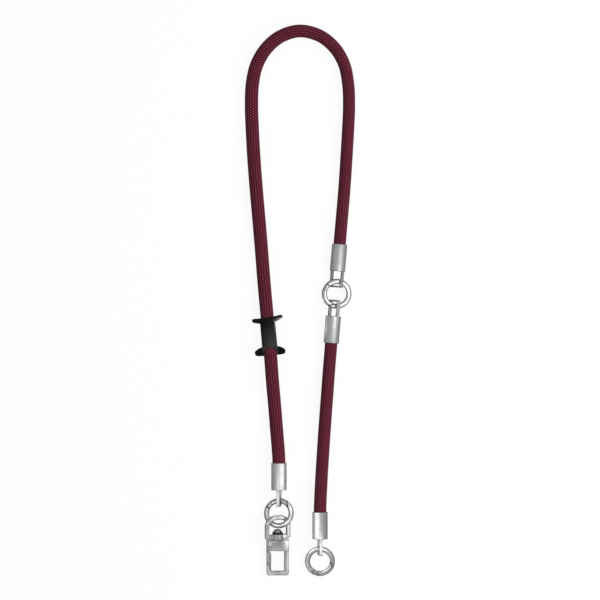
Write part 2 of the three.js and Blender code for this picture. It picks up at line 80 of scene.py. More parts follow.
# Rope cap: its mouth is at y = 0 and its bail points along -y
CAP_RADIUS = 7.3
CAP_LENGTH = 25.6
CAP_BORE = 6.45
CAP_BORE_DEPTH = 16
CAP_EDGE = 0.42
CRIMP_FROM_MOUTH = 5.8
CRIMP_BALL = 1.35  # radius of the ball that presses the mark
CRIMP_BALL_OUT = 0.65  # from the cap's side to the middle of that ball
BAIL_WIDTH = 14.4
BAIL_LENGTH = 15.6
BAIL_BAR = 1.95
BAIL_END_BAR = 2.3
BAIL_THICKNESS = 2.9
BAIL_ROOT = 2  # how deep the bail is set in the cup
BAIL_CORNER = 1.1
BAIL_EDGE = 0.45

# Spring-gate ring, with the hinge pin on the +x axis and the gate anticlockwise of it
RING_RADIUS = 11.85
RING_WIDTH = 4.9
RING_THICKNESS = 4.2
RING_CORNER = 1.9
RING_EDGE = 0.3
RING_STEP = 3  # degrees from one section of the ring to the next
NOSE_ANGLE = 92.4  # where the seam at the gate's nose crosses the middle of the ring
NOSE_SPARE = 16  # degrees drawn past the nose, before the seam is cut
NOSE_GAP = 0.4
KNUCKLE = 2.45
KNUCKLE_CLEARANCE = 0.15
GATE_START = 4  # degrees past the pin, inside what the knuckle cuts away
TONGUE_RADIUS = 2.2
TONGUE_THICKNESS = 1.4
WEB = (-1.9, 1.7)  # sides of the web that carries the tongue, from the pin
WEB_LENGTH = 1.6  # past the knuckle
SLOT_THICKNESS = 2
PIN_RADIUS = 0.8
PIN_END_RADIUS = 0.5
PIN_PROUD = 0.12  # how far the pin stands out of the ring's face
PIN_CHAMFER = 0.16
GROOVE_ANGLE = 12  # degrees past the pin, on the ring's body
GROOVE_WIDTH = 0.9  # what the groove leaves of the ring's width and thickness
GROOVE_THICKNESS = 0.86

# Clasp: y runs along the swivel's axis, and y = 0 is the middle of the loop's crossbar
LOOP_HALF_WIDTH = 12.9
LOOP_BAR = 4.2
LOOP_THICKNESS = 4
LOOP_EDGE = 1.5
LOOP_TOP = 20.6
LOOP_BOTTOM = -1.7
LOOP_CORNER = 10.6
CROSSBAR_HEIGHT = 4.7
CROSSBAR_THICKNESS = 3.2
CROSSBAR_EDGE = 0.5
BOSS_RADIUS = 5.2
BOSS_TOP = 3.1
BOSS_BOTTOM = -2.6
BOSS_EDGE = 0.45
SHANK_RADIUS = 2.2
SHANK_BOTTOM = -6
HEAD_RADIUS = 5
HEAD_HEIGHT = 4.1
HEAD_GAP = 0.25
HEAD_STEPS = [  # radius and height, as shares of the head's
    (0.97, 0), (1, 0.05), (1, 0.2), (0.95, 0.27), (0.83, 0.3), (0.82, 0.46), (0.79, 0.56),
    (0.68, 0.6), (0.66, 0.7), (0.6, 0.8), (0.49, 0.89), (0.34, 0.95), (0.16, 0.99),
]
PLATE_HALF_WIDTH = 10.8
PLATE_TOP = -3
PLATE_BOTTOM = -13.5
PLATE_THICKNESS = 5.2
PLATE_EDGE = 0.55
PLATE_SLOT_SIDE = -1.6  # the slot for the gate's tongue runs from the plate's left side to here
PLATE_SLOT_ROOM = 2.8  # above the gate's rivet
FRAME_HALF_WIDTH = 10.7
FRAME_BOTTOM = -37.2
FRAME_TOP = PLATE_BOTTOM + 3  # hidden in the plate
FRAME_THICKNESS = 4
FRAME_CORNER = 2.6
FRAME_EDGE = 0.75
FRAME_CHAMFER = 1.4
WINDOW_HALF_WIDTH = 6.1
WINDOW_BOTTOM = -32.9
WINDOW_CORNER = 0.6
RIVET_RADIUS = 1.2
RIVET_HEAD_RADIUS = 1.9
RIVET_HEAD_STEPS = [  # radius as a share of the head's, and rise above the plate
    (1, 0), (0.96, 0.18), (0.8, 0.34), (0.5, 0.42), (0.25, 0.44),
]
RIVET_Y = -6.6
GATE_RIVET_X = -7
FRAME_RIVET_X = 7.8
GATE_TONGUE_SIDES = (-9.3, -6.9)
GATE_TONGUE_ROOT = 1.5  # how deep the tongue is set in the gate's shoulder
GATE_TONGUE_THICKNESS = 1.5
GATE_EYE_RADIUS = 2.4
SHOULDER_OUTER_Y = -13.9
SHOULDER_INNER_Y = -15.7
SEAM_OUTER_Y = -23
SEAM_INNER_Y = -28.6
SEAM_GAP = 0.6

# Rope slider, with its axis along y
SLIDER_RADIUS = 7.3
SLIDER_BORE = 6.45
SLIDER_LENGTH = 31
EAR_SPAN = 29
EAR_THICKNESS = 2.4
EAR_INSET = 0.6  # the ears are this much lower than the barrel
EAR_EDGE = 0.7
EAR_FLARE = 2
UPPER_EAR_LEAN = 14
UPPER_EAR_SLANT = 4
LOWER_EAR_LEAN = 30
BARREL_SPARE = 3  # drawn past the lower end, before that is cut at the ear's lean
BARREL_EDGE = 0.3

# Painted shade: how near a seam or an edge it lies, and how dark it is there, as a share
SHADE_START = 0.02  # nearer than this, a point is on the flat face, which stays unshaded
SHADE_REACH = 0.3
CAP_SHADE_RADIUS = 5  # on the cap's end it lies outside this radius
NOSE_SHADE_REACH = 0.8
KNUCKLE_SHADE_REACH = 0.4
GROOVE_REACH = 0.5  # degrees: only the section in the groove
GROOVE_SHADE_REACH = 3.5  # degrees
GROOVE_SHADE = 0.5
EDGE_SHADE = 0.6
PLATE_SHADE = 0.16
HEAD_SHADE = (0.04, 0.3)  # between these shares of the swivel head's height

# Where each fitting lies: millimetres and degrees
RESTING_AXIS = 7.3
CAPS = {  # mouth, heading and roll
    "left_end_cap": ((-21.7, -50.2), 0, -98.5),
    "upper_joint_cap": ((36, 157.6), -4.8, -39),
    "lower_joint_cap": ((27.88, 63.9), 175.2, 54),
    "right_end_cap": ((17.3, -96.7), 0, 98.5),
}
RINGS = {  # centre, tilts about x and y, whether it lies face down, hinge's heading, and metal
    "left_ring": ((-21.8, -97.88, 7.1), (-9, -10), True, 139, "nickel in painted shade"),
    "joint_ring": ((33.1, 110.6, 6.9), (4, 9), False, 147.5, "polished nickel"),
    "right_ring": ((17.3, -143.9, 3.6), (6.6, 0), False, -111, "polished nickel"),
}
CLASP_CENTRE = (-23, -120.3, 6.57)
CLASP_PITCH = 7
LOOP_ROLL = 22
SLIDER_CENTRE = (-31.4, 71, RESTING_AXIS)
SLIDER_HEADING = 5

# View, floor and room
VIEW_CENTRE = (-1.7, 104.7)
VIEW_WIDTH = 570
CAMERA_HEIGHT = 2400
SENSOR = 36
FLOOR_RADIUS = 9000
FLOOR_COLOUR = (0.06, 0.06, 0.06, 1)
FLOOR_GLOW = 0.93
ROOM_BELOW = 0.24  # brightness of the room low down and high up
ROOM_ABOVE = 0.5
ROOM_BLEND = (-0.7, 0.6)  # how far down and up, from -1 to 1, those two are reached
ROOM_SEEN = 0.985  # brightness that the camera sees past the floor's edge

# The panel that lights the cloth: place, lean, size and brightness
KEY = ((850, 100, 1000), 40, (700, 1800), 5.0)

# Cards that only the metal mirrors, each placed for one fitting: the same columns
CARDS = {
    "left cap card": ((-2, -61, 33), 50, (34, 50), 1.55),
    "right cap card": ((-3, -109, 33), -50, (34, 50), 1.35),
    "left bail card": ((-50, -92, 107), -16, (20, 22), 10),
    "right bail card": ((23.5, -132, 34), 17, (12, 16), 2.6),
    "loop card": ((-2, -116, 35), 50, (24, 30), 0.4),
    "loop arc card": ((1, -106, 33), 46, (20, 10), 0.8),
    "slider card": ((-14, 82, 0.6), 180, (14, 14), 8),
    "frame card": ((-33, -172, 66), 0, (12, 34), 0.7),
    "frame end card": ((-25, -184, 66), 0, (30, 16), 0.66),
    "right ring card": ((-4, -146, 33), -50, (24, 34), 0.9),
    "joint ring card": ((50, 104, 57), 18, (24, 26), 1.5),
    "joint strip": ((75, 110, 80), 25, (36, 150), 1.7),
}

# Metals: light and dark tone, roughness, what the brushing adds to it, and unevenness
METALS = {
    "satin silver": ((0.66, 0.665, 0.67, 1), (0.59, 0.595, 0.6, 1), 0.4, 0.08, 0.01),
    "polished nickel": ((0.71, 0.71, 0.705, 1), (0.43, 0.428, 0.422, 1), 0.22, 0.1, 0.11),
    # the rings' nickel made darker for the left ring, which lies out of the light: painted shade
    "nickel in painted shade": ((0.56, 0.557, 0.55, 1), (0.26, 0.256, 0.25, 1), 0.24, 0.1, 0.13),
    "dark nickel": ((0.34, 0.33, 0.32, 1), (0.2, 0.195, 0.19, 1), 0.16, 0.1, 0.05),
    "bright nickel": ((0.95, 0.95, 0.94, 1), (0.85, 0.85, 0.84, 1), 0.12, 0.05, 0.03),
}
# near black that the painted shade blends the metal towards
METAL_PAINTED_SHADE = (0.03, 0.03, 0.03, 1)

# Braid: threads where they dip, darkened as painted shade, and at their crown, a painted glint on
# their crowns, faded patches, and the sheen
BRAID_DIP_SHADE = (0.034, 0.0036, 0.0085, 1)
BRAID_CROWN = (0.155, 0.0185, 0.0405, 1)
BRAID_PAINTED_GLINT = (0.42, 0.105, 0.165, 1)
BRAID_PATCH = (0.08, 0.008, 0.018, 1)
BRAID_SHEEN = (0.8, 0.42, 0.5, 1)

# Rubber, the lighter grey of dust and painted light on its barrel, and where that fades out to the
# plain black, as painted shade on the ears and the barrel's upper end: across the slider, and down
# its length
RUBBER = (0.0025, 0.0025, 0.0027, 1)
RUBBER_DUST_AND_LIGHT = (0.042, 0.042, 0.038, 1)
DUST_AND_LIGHT_SIDE = (6.8, 8.2)
DUST_AND_LIGHT_LENGTH = (-11, 12)


# ---------------------------------------------------------------- camera

def add_camera():
    """Camera straight above the strap, far enough away that it looks flat."""
    data = bpy.data.cameras.new("camera")
    data.sensor_width = SENSOR
    data.lens = SENSOR * (CAMERA_HEIGHT - RESTING_AXIS) / VIEW_WIDTH
    data.clip_end = 100
    camera = bpy.data.objects.new("camera", data)
    camera.location = Vector((*VIEW_CENTRE, CAMERA_HEIGHT)) * MM
    bpy.context.scene.collection.objects.link(camera)
    bpy.context.scene.camera = camera


# ---------------------------------------------------------------- ropes

def catmull_rom(p0, p1, p2, p3, share):
    """Point on a centripetal spline between p1 and p2."""
    t0 = 0.0
    t1 = t0 + (p1 - p0).length ** 0.5
    t2 = t1 + (p2 - p1).length ** 0.5
    t3 = t2 + (p3 - p2).length ** 0.5
    t = t1 + (t2 - t1) * share
    a1 = p0.lerp(p1, (t - t0) / (t1 - t0))
    a2 = p1.lerp(p2, (t - t1) / (t2 - t1))
    a3 = p2.lerp(p3, (t - t2) / (t3 - t2))
    b1 = a1.lerp(a2, (t - t0) / (t2 - t0))
    b2 = a2.lerp(a3, (t - t1) / (t3 - t1))
    return b1.lerp(b2, (t - t1) / (t2 - t1))


def smooth_route(route):
    """Closely spaced points, in millimetres, on one smooth curve through the route."""
    points = [Vector(p) for p in route]
    ends = [2 * points[0] - points[1], 2 * points[-1] - points[-2]]
    points = [ends[0], *points, ends[1]]
    fine = []
    for k in range(1, len(points) - 2):
        for step in range(STEPS_PER_POINT):
            fine.append(catmull_rom(*points[k - 1:k + 3], step / STEPS_PER_POINT))
    fine.append(points[-2])
    return fine


def even_spacing(fine, spacing):
    """The same curve as points about one spacing apart, and its length."""
    lengths = [0.0]
    for a, b in zip(fine, fine[1:]):
        lengths.append(lengths[-1] + (b - a).length)
    count = round(lengths[-1] / spacing)
    even = []
    k = 0
    for n in range(count + 1):
        at = lengths[-1] * n / count
        while k < len(fine) - 2 and lengths[k + 1] < at:
            k += 1
        even.append(fine[k].lerp(fine[k + 1], (at - lengths[k]) / (lengths[k + 1] - lengths[k])))
    return even, lengths[-1]


def braid_height(u, v):
    """Height, 0 to 1, of a two-over-two braid at u crossings round and v along."""
    a = u + v
    b = u - v
    i = math.floor(a)
    j = math.floor(b)
    if (i + j) % 4 < 2:
        across = b - j
        along = ((a + j) % 4) / 2
    else:
        across = a - i
        along = ((b + i) % 4 - 2) / 2
    return abs(math.sin(math.pi * across) * math.sin(math.pi * min(max(along, 0), 1))) ** 0.5


def rope_points(route):
    """Rings of points round the route, raised and sunk by the braid."""
    rings = []
    side = Vector((1, 0, 0))
    for k, point in enumerate(route):
        ahead = (route[min(k + 1, len(route) - 1)] - route[max(k - 1, 0)]).normalized()
        side = (side - ahead * side.dot(ahead)).normalized()
        up = ahead.cross(side)
        for s in range(ROPE_SIDES):
            angle = 2 * math.pi * s / ROPE_SIDES
            relief = braid_height(s / SIDES_PER_CELL, k / RINGS_PER_CELL)
            radius = ROPE_RADIUS + BRAID_RELIEF * (relief - RELIEF_AT_RADIUS)
            out = side * math.cos(angle) * (1 - WIDER_PER_MM * point.x) + up * math.sin(angle)
            rings.append((point + out * radius) * MM)
    return rings


def rope_faces(count):
    """Faces between that many rings and over both ends, and their corners' places on the braid."""
    faces = []
    places = []
    for k in range(count - 1):
        for s in range(ROPE_SIDES):
            here, ahead = k * ROPE_SIDES, (k + 1) * ROPE_SIDES
            t = (s + 1) % ROPE_SIDES
            faces.append((here + s, here + t, ahead + t, ahead + s))
            for ds, dk in ((0, 0), (1, 0), (1, 1), (0, 1)):
                places.append(((s + ds) / SIDES_PER_CELL, (k + dk) / RINGS_PER_CELL))
    last = (count - 1) * ROPE_SIDES
    faces.append(tuple(reversed(range(ROPE_SIDES))))
    faces.append(tuple(range(last, last + ROPE_SIDES)))
    places += [(0, 0)] * (2 * ROPE_SIDES)
    return faces, places


def braided_rope(name, route):
    """A rope along the route, with its braid as real relief and a map that follows it."""
    points, length = even_spacing(smooth_route(route), CELL_LENGTH / RINGS_PER_CELL)
    faces, places = rope_faces(len(points))
    mesh = bpy.data.meshes.new(name)
    mesh.from_pydata(rope_points(points), [], faces)
    layer = mesh.uv_layers.new(name="braid")
    layer.data.foreach_set("uv", [x for place in places for x in place])
    mesh.polygons.foreach_set("use_smooth", [True] * len(mesh.polygons))
    rope = bpy.data.objects.new(name, mesh)
    bpy.context.scene.collection.objects.link(rope)
    path = [tuple(p * MM) for p in points[::PATH_STEP] + [points[-1]]]
    return rope, path, length * MM


def add_ropes(material):
    """Both ropes, each starting in its cap; each cap's mouth is listed with it but not used."""
    ropes = [
        ("main_rope", MAIN_ROPE_ROUTE, CAPS["left_end_cap"][0]),
        ("short_rope", SHORT_ROPE_ROUTE, CAPS["lower_joint_cap"][0]),
    ]
    for name, route, mouth in ropes:
        rope, path, length = braided_rope(f"{name}_braid", route)
        rope.data.materials.append(material)
        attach(rope, "strap")
        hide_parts(name)


# ---------------------------------------------------------------- modelling helpers

def only(piece):
    """Makes this piece the one that is selected and active."""
    bpy.ops.object.select_all(action="DESELECT")
    piece.select_set(True)
    bpy.context.view_layer.objects.active = piece


def new_piece(name):
    """Names the primitive that was just added, with its place put into its mesh."""
    piece = bpy.context.active_object
    piece.name = name
    piece.data.name = name
    only(piece)
    bpy.ops.object.transform_apply(location=True, rotation=True, scale=True)
    return piece


def edit(piece, faces=None, edges=None, points=None):
    """Opens a piece for editing with only the chosen faces, edges or points selected.

    Each choice is a test: of a face, of an edge's two ends, or of a point's place.
    """
    only(piece)
    mesh = piece.data
    for part in (mesh.vertices, mesh.edges, mesh.polygons):
        part.foreach_set("select", [False] * len(part))
    modes = (points is not None, edges is not None, faces is not None)
    bpy.context.tool_settings.mesh_select_mode = modes
    if faces:
        for face in mesh.polygons:
            face.select = faces(face)
    if edges:
        for edge in mesh.edges:
            edge.select = edges(*(mesh.vertices[v].co / MM for v in edge.vertices))
    if points:
        for vertex in mesh.vertices:
            vertex.select = points(vertex.co / MM)
    bpy.ops.object.mode_set(mode="EDIT")


def leave():
    bpy.ops.object.mode_set(mode="OBJECT")


def point_outwards():
    """Turns every face of the piece in edit mode outwards."""
    bpy.ops.mesh.select_all(action="SELECT")
    bpy.ops.mesh.normals_make_consistent(inside=False)


def move(y):
    bpy.ops.transform.translate(value=(0, y * MM, 0))


def extrude(x=0, y=0):
    bpy.ops.mesh.extrude_region_move(TRANSFORM_OT_translate={"value": (x * MM, y * MM, 0)})


def resize(x, y, z, centre):
    bpy.ops.transform.resize(value=(x, y, z), center_override=[c * MM for c in centre])


def centred(width):
    """From one side to the other of a width that lies evenly about zero."""
    return (-width / 2, width / 2)


def block(name, x, y, z):
    """Box between two values on each axis."""
    centre = [(lo + hi) / 2 * MM for lo, hi in (x, y, z)]
    size = [(hi - lo) * MM for lo, hi in (x, y, z)]
    bpy.ops.mesh.primitive_cube_add(size=1, location=centre, scale=size)
    return new_piece(name)


def turned(name, stations, sides=SIDES):
    """Turned piece with its axis along y: a disc drawn out through (radius, y) stations."""
    radius, y = stations[0]
    bpy.ops.mesh.primitive_circle_add(
        vertices=sides, radius=radius * MM, fill_type="NGON",
        location=(0, y * MM, 0), rotation=(math.pi / 2, 0, 0))
    piece = new_piece(name)
    edit(piece, faces=lambda face: True)
    for next_radius, next_y in stations[1:]:
        extrude(y=next_y - y)
        resize(next_radius / radius, 1, next_radius / radius, (0, next_y, 0))
        radius, y = next_radius, next_y
    point_outwards()
    leave()
    return piece


def peg(name, x, y, radius, thickness, sides=48):
    """Disc with its axis along z."""
    bpy.ops.mesh.primitive_cylinder_add(
        vertices=sides, radius=radius * MM, depth=thickness * MM, location=(x * MM, y * MM, 0))
    return new_piece(name)


def modify(piece, kind, **settings):
    """Adds a modifier with these settings and applies it."""
    only(piece)
    modifier = piece.modifiers.new(kind.lower(), kind)
    for key, value in settings.items():
        setattr(modifier, key, value)
    bpy.ops.object.modifier_apply(modifier=modifier.name)


def soften(piece, width, segments=3, angle=35):
    """Rounds every edge sharper than the angle."""
    modify(piece, "BEVEL", width=width * MM, segments=segments, limit_method="ANGLE",
           angle_limit=math.radians(angle))


def carve(piece, tool, operation="DIFFERENCE"):
    """Cuts, joins or keeps what is common with a second shape, which is then used up."""
    modify(piece, "BOOLEAN", object=tool, operation=operation, solver="EXACT")
    bpy.data.objects.remove(tool)


def fuse(piece, *others):
    """Makes several shapes one piece."""
    only(piece)
    for other in others:
        other.select_set(True)
    bpy.ops.object.join()
    return piece


def shade(piece, angle=40):
    """Smooth shading across every edge blunter than the angle."""
    only(piece)
    bpy.ops.object.shade_smooth_by_angle(angle=math.radians(angle))


def is_upright(a, b):
    """Whether an edge runs along z."""
    return abs(a.x - b.x) < CLOSE and abs(a.y - b.y) < CLOSE and abs(a.z - b.z) > CLOSE


def mark_painted_shade(piece, near, share=1.0):
    """Marks the points near a seam or an edge, where painted shade makes the metal darker."""
    seams = piece.data.attributes.get("seam") or piece.data.attributes.new("seam", "FLOAT", "POINT")
    for vertex, mark in zip(piece.data.vertices, seams.data):
        if near(vertex.co / MM):
            mark.value = share


def copy_of(piece, name):
    twin = piece.copy()
    twin.data = piece.data.copy()
    twin.name = name
    twin.data.name = name
    bpy.context.scene.collection.objects.link(twin)
    return twin


def turn(degrees, axis):
    return Matrix.Rotation(math.radians(degrees), 4, axis)


def shift(x, y, z=0):
    return Matrix.Translation(Vector((x, y, z)) * MM)


def settle(piece, place, body, material):
    """Puts a finished piece in its place, on its body and instead of the node it is named for."""
    piece.data.transform(place)
    piece.data.update()
    piece.data.materials.clear()
    piece.data.materials.append(material)
    node = piece.name.removesuffix("_fine")
    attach(piece, body)
    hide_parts(node)


# ---------------------------------------------------------------- rope caps

def model_cup():
    """Cast cup with a rolled mouth and a crimp mark."""
    cup = turned("cap", [(CAP_RADIUS, -CAP_LENGTH), (CAP_RADIUS, 0)])
    edit(cup, faces=lambda face: face.normal.y > 0.9)
    bpy.ops.mesh.inset(thickness=(CAP_RADIUS - CAP_BORE) * MM)
    extrude(y=-CAP_BORE_DEPTH)
    leave()
    soften(cup, CAP_EDGE, 4)
    bpy.ops.mesh.primitive_uv_sphere_add(
        segments=32, ring_count=16, radius=CRIMP_BALL * MM,
        location=(0, -CRIMP_FROM_MOUTH * MM, -(CAP_RADIUS + CRIMP_BALL_OUT) * MM))
    carve(cup, new_piece("crimp"))
    return cup


def model_bail():
    """Square bail, with a thicker bar at its end."""
    end = -CAP_LENGTH - BAIL_LENGTH
    bail = block("bail", centred(BAIL_WIDTH), (end, -CAP_LENGTH + BAIL_ROOT),
                 centred(BAIL_THICKNESS))
    edit(bail, edges=lambda a, b: is_upright(a, b) and a.y < end + CLOSE)
    bpy.ops.mesh.bevel(offset=BAIL_CORNER * MM, segments=4)
    leave()
    edit(bail, faces=lambda face: abs(face.normal.z) > 0.9)
    bpy.ops.mesh.inset(thickness=BAIL_BAR * MM, use_individual=True)
    bpy.ops.mesh.bridge_edge_loops()
    leave()
    window_half = BAIL_WIDTH / 2 - BAIL_BAR
    window_end = end + BAIL_BAR
    edit(bail, points=lambda p: abs(p.x) < window_half + CLOSE
         and p.y < window_end + BAIL_CORNER + CLOSE)
    move(BAIL_END_BAR - BAIL_BAR)
    point_outwards()
    leave()
    soften(bail, BAIL_EDGE, 3, 40)
    return bail


def model_cap():
    """Cup and bail, cast in one, with painted shadow round the cup's closed end."""
    cap = fuse(model_cup(), model_bail())
    shade(cap)
    # painted shadow on the rim of the cup's closed end, where the bail meets it
    mark_painted_shade(cap, lambda p: SHADE_START < p.y + CAP_LENGTH < SHADE_REACH
               and math.hypot(p.x, p.z) > CAP_SHADE_RADIUS)
    return cap


def add_caps(metals):
    model = model_cap()
    for name, (mouth, heading, roll) in CAPS.items():
        cap = copy_of(model, f"{name}_fine")
        place = shift(*mouth, RESTING_AXIS) @ turn(heading, "Z") @ turn(roll, "Y")
        settle(cap, place, "strap", metals["satin silver"])
    bpy.data.objects.remove(model)


# ---------------------------------------------------------------- spring-gate rings

def section_loop(name, width, thickness, corner, x):
    """Rounded rectangle, as a bare loop in the xz plane, ready to be drawn along a path."""
    bpy.ops.mesh.primitive_plane_add(
        size=1, location=(x * MM, 0, 0), rotation=(math.pi / 2, 0, 0))
    piece = bpy.context.active_object
    piece.scale = (width * MM, thickness * MM, 1)
    piece = new_piece(name)
    edit(piece, points=lambda p: True)
    bpy.ops.mesh.bevel(offset=corner * MM, segments=5, affect="VERTICES")
    bpy.ops.mesh.select_all(action="SELECT")
    bpy.ops.mesh.delete(type="ONLY_FACE")
    bpy.context.tool_settings.mesh_select_mode = (False, True, False)
    bpy.ops.mesh.select_all(action="SELECT")
    return piece


def close_ends():
    """Closes the open ends of the piece in edit mode."""
    bpy.ops.mesh.select_all(action="SELECT")
    bpy.ops.mesh.fill_holes(sides=0)
    point_outwards()


def ring_arc(name, start, end):
    """Stretch of the ring between two angles."""
    arc = section_loop(name, RING_WIDTH, RING_THICKNESS, RING_CORNER, RING_RADIUS)
    bpy.ops.mesh.spin(steps=round((end - start) / RING_STEP), angle=math.radians(end - start),
                      center=(0, 0, 0), axis=(0, 0, 1))
    close_ends()
    leave()
    arc.data.transform(turn(end, "Z"))  # the spin runs clockwise from the x axis
    return arc


def round_end(half, centre, towards):
    """Draws the selected loop out along y into a half-round end about the centre."""
    width, reach = 1.0, 0.0
    for angle in ROUND_END:
        next_width = math.cos(math.radians(angle))
        next_reach = half * math.sin(math.radians(angle))
        extrude(y=towards * (next_reach - reach))
        resize(next_width / width, 1, 1, centre)
        width, reach = next_width, next_reach


def slice_off(piece, point, outward):
    """Cuts the end of a ring piece with a plane and leaves out what lies against the arrow."""
    edit(piece, faces=lambda face: face.center.y > RING_RADIUS / 2 * MM)
    bpy.ops.mesh.bisect(plane_co=Vector(point) * MM, plane_no=outward, use_fill=True,
                        clear_inner=True)
    leave()


def nose_seam():
    """Middle of the seam at the gate's nose, and the direction across it, away from the pin."""
    angle = math.radians(NOSE_ANGLE)
    nose = Vector((RING_RADIUS * math.cos(angle), RING_RADIUS * math.sin(angle), 0))
    return nose, (nose - Vector((RING_RADIUS, 0, 0))).normalized()


def near_nose(p):
    """Whether a point of the body or the gate lies by the seam at the nose."""
    nose, outward = nose_seam()
    return (p.y > RING_RADIUS / 2
            and abs((p - nose).dot(outward) - NOSE_GAP / 2) < NOSE_SHADE_REACH)


def near_groove(p, degrees):
    """Whether a point of the ring's body lies within some degrees of the groove by the hinge."""
    return p.x > 0 and abs(math.degrees(math.atan2(-p.y, p.x)) - GROOVE_ANGLE) < degrees


def near_knuckle(p):
    """Whether a point of the gate lies by its hollow end, which turns against the body."""
    from_pin = math.hypot(p.x - RING_RADIUS, p.y)
    return abs(from_pin - KNUCKLE - NOSE_GAP) < KNUCKLE_SHADE_REACH


def model_ring_body():
    """The ring without its gate: forked round the hinge pin, and cut off at the nose."""
    nose, outward = nose_seam()
    body = ring_arc("ring", NOSE_ANGLE - NOSE_SPARE, 360)
    edit(body, faces=lambda face: face.center.x > 0 and abs(face.center.y) < HAIR * MM)
    round_end(RING_WIDTH / 2, (RING_RADIUS, 0, 0), 1)
    leave()
    edit(body, points=lambda p: near_groove(p, GROOVE_REACH))
    resize(GROOVE_WIDTH, 1, GROOVE_THICKNESS,
           (RING_RADIUS * math.cos(math.radians(GROOVE_ANGLE)), 0, 0))
    leave()
    slice_off(body, nose + outward * NOSE_GAP, outward)
    soften(body, RING_EDGE, 2, 50)
    carve(body, peg("slot", RING_RADIUS, 0, KNUCKLE + KNUCKLE_CLEARANCE, SLOT_THICKNESS))
    shade(body, 30)
    # painted shade in the seam at the nose and in the groove by the hinge
    mark_painted_shade(body, near_nose)
    mark_painted_shade(body, lambda p: near_groove(p, GROOVE_SHADE_REACH), GROOVE_SHADE)
    mark_painted_shade(body, lambda p: near_groove(p, GROOVE_REACH))
    return body


def model_ring_gate():
    """The ring's gate, with the tongue that the hinge pin goes through."""
    nose, outward = nose_seam()
    gate = ring_arc("gate", GATE_START, NOSE_ANGLE + NOSE_SPARE)
    slice_off(gate, nose, -outward)
    carve(gate, peg("knuckle", RING_RADIUS, 0, KNUCKLE + NOSE_GAP, CUTTER_THICKNESS, SIDES))
    soften(gate, RING_EDGE, 2, 50)
    tongue = peg("tongue", RING_RADIUS, 0, TONGUE_RADIUS, TONGUE_THICKNESS, 64)
    web = block("web", [RING_RADIUS + side for side in WEB], (0, KNUCKLE + WEB_LENGTH),
                centred(TONGUE_THICKNESS))
    fuse(gate, tongue, web)
    shade(gate, 30)
    # painted shade along the seam at the nose and round the hollow end by the hinge
    mark_painted_shade(gate, near_nose)
    mark_painted_shade(gate, near_knuckle)
    return gate


def model_ring_pin():
    """Hinge pin, with chamfered ends that stand a little proud."""
    end = RING_THICKNESS / 2 + PIN_PROUD
    pin = turned("pin", [(PIN_END_RADIUS, -end), (PIN_RADIUS, PIN_CHAMFER - end),
                         (PIN_RADIUS, end - PIN_CHAMFER), (PIN_END_RADIUS, end)], 32)
    pin.data.transform(shift(RING_RADIUS, 0) @ turn(90, "X"))
    shade(pin, 30)
    return pin


def add_rings(metals):
    """Three rings from one model. Only the right one's gate moves."""
    models = {"": model_ring_body(), "_gate": model_ring_gate(), "_pin": model_ring_pin()}
    for name, (centre, tilt, face_down, hinge, metal) in RINGS.items():
        place = shift(*centre) @ turn(tilt[0], "X") @ turn(tilt[1], "Y")
        if face_down:
            place = place @ turn(180, "X") @ turn(-hinge, "Z")
        else:
            place = place @ turn(hinge, "Z")
        for ending, model in models.items():
            part = copy_of(model, f"{name}{ending}_fine")
            body = "ring_gate" if name + ending == "right_ring_gate" else "strap"
            if ending == "_pin":
                settle(part, place, body, metals["dark nickel"])
            else:
                settle(part, place, body, metals[metal])
    for model in models.values():
        bpy.data.objects.remove(model)


# ---------------------------------------------------------------- clasp

def model_loop_bar():
    """D-shaped bar: up one side, round both top corners and down the other side."""
    middle = LOOP_HALF_WIDTH - LOOP_BAR / 2
    arc_x = LOOP_HALF_WIDTH - LOOP_CORNER
    arc_y = LOOP_TOP - LOOP_CORNER
    foot_y = LOOP_BOTTOM + LOOP_BAR / 2
    loop = section_loop("loop", LOOP_BAR, LOOP_THICKNESS, LOOP_EDGE, -middle)
    move(foot_y)
    extrude(y=arc_y - foot_y)
    for centre_x, run in ((-arc_x, 2 * arc_x), (arc_x, 0)):
        bpy.ops.mesh.spin(steps=24, angle=math.pi / 2, axis=(0, 0, 1),
                          center=(centre_x * MM, arc_y * MM, 0))
        if run:
            extrude(x=run)
    extrude(y=foot_y - arc_y)
    leave()
    for end in (-1, 1):
        edit(loop, points=lambda p: abs(p.y - foot_y) < HAIR and p.x * end > 0)
        round_end(LOOP_BAR / 2, (end * middle, foot_y, 0), -1)
        leave()
    edit(loop, faces=lambda face: True)
    close_ends()
    leave()
    return loop


def model_crossbar():
    """Bar across the foot of the loop, with painted shade along its edges."""
    bar = block("crossbar", centred(2 * LOOP_HALF_WIDTH - LOOP_BAR), centred(CROSSBAR_HEIGHT),
                centred(CROSSBAR_THICKNESS))
    soften(bar, CROSSBAR_EDGE)
    # painted shade along the bar's edges
    mark_painted_shade(bar, lambda p: abs(p.y) > CROSSBAR_HEIGHT / 2 - SHADE_REACH
               and abs(p.z) > CROSSBAR_THICKNESS / 2 - SHADE_REACH, EDGE_SHADE)
    return bar


def model_boss():
    """Barrel that the swivel turns in, with painted shadow round both ends."""
    boss = turned("boss", [(BOSS_RADIUS, BOSS_BOTTOM), (BOSS_RADIUS, BOSS_TOP)])
    soften(boss, BOSS_EDGE)
    # painted shadow round both ends of the boss
    mark_painted_shade(boss, lambda p: SHADE_START < BOSS_TOP - p.y < SHADE_REACH
               or SHADE_START < p.y - BOSS_BOTTOM < SHADE_REACH)
    return boss


def model_loop():
    """D-shaped loop with its crossbar and the boss that the swivel turns in."""
    loop = fuse(model_loop_bar(), model_crossbar(), model_boss())
    shade(loop)
    return loop


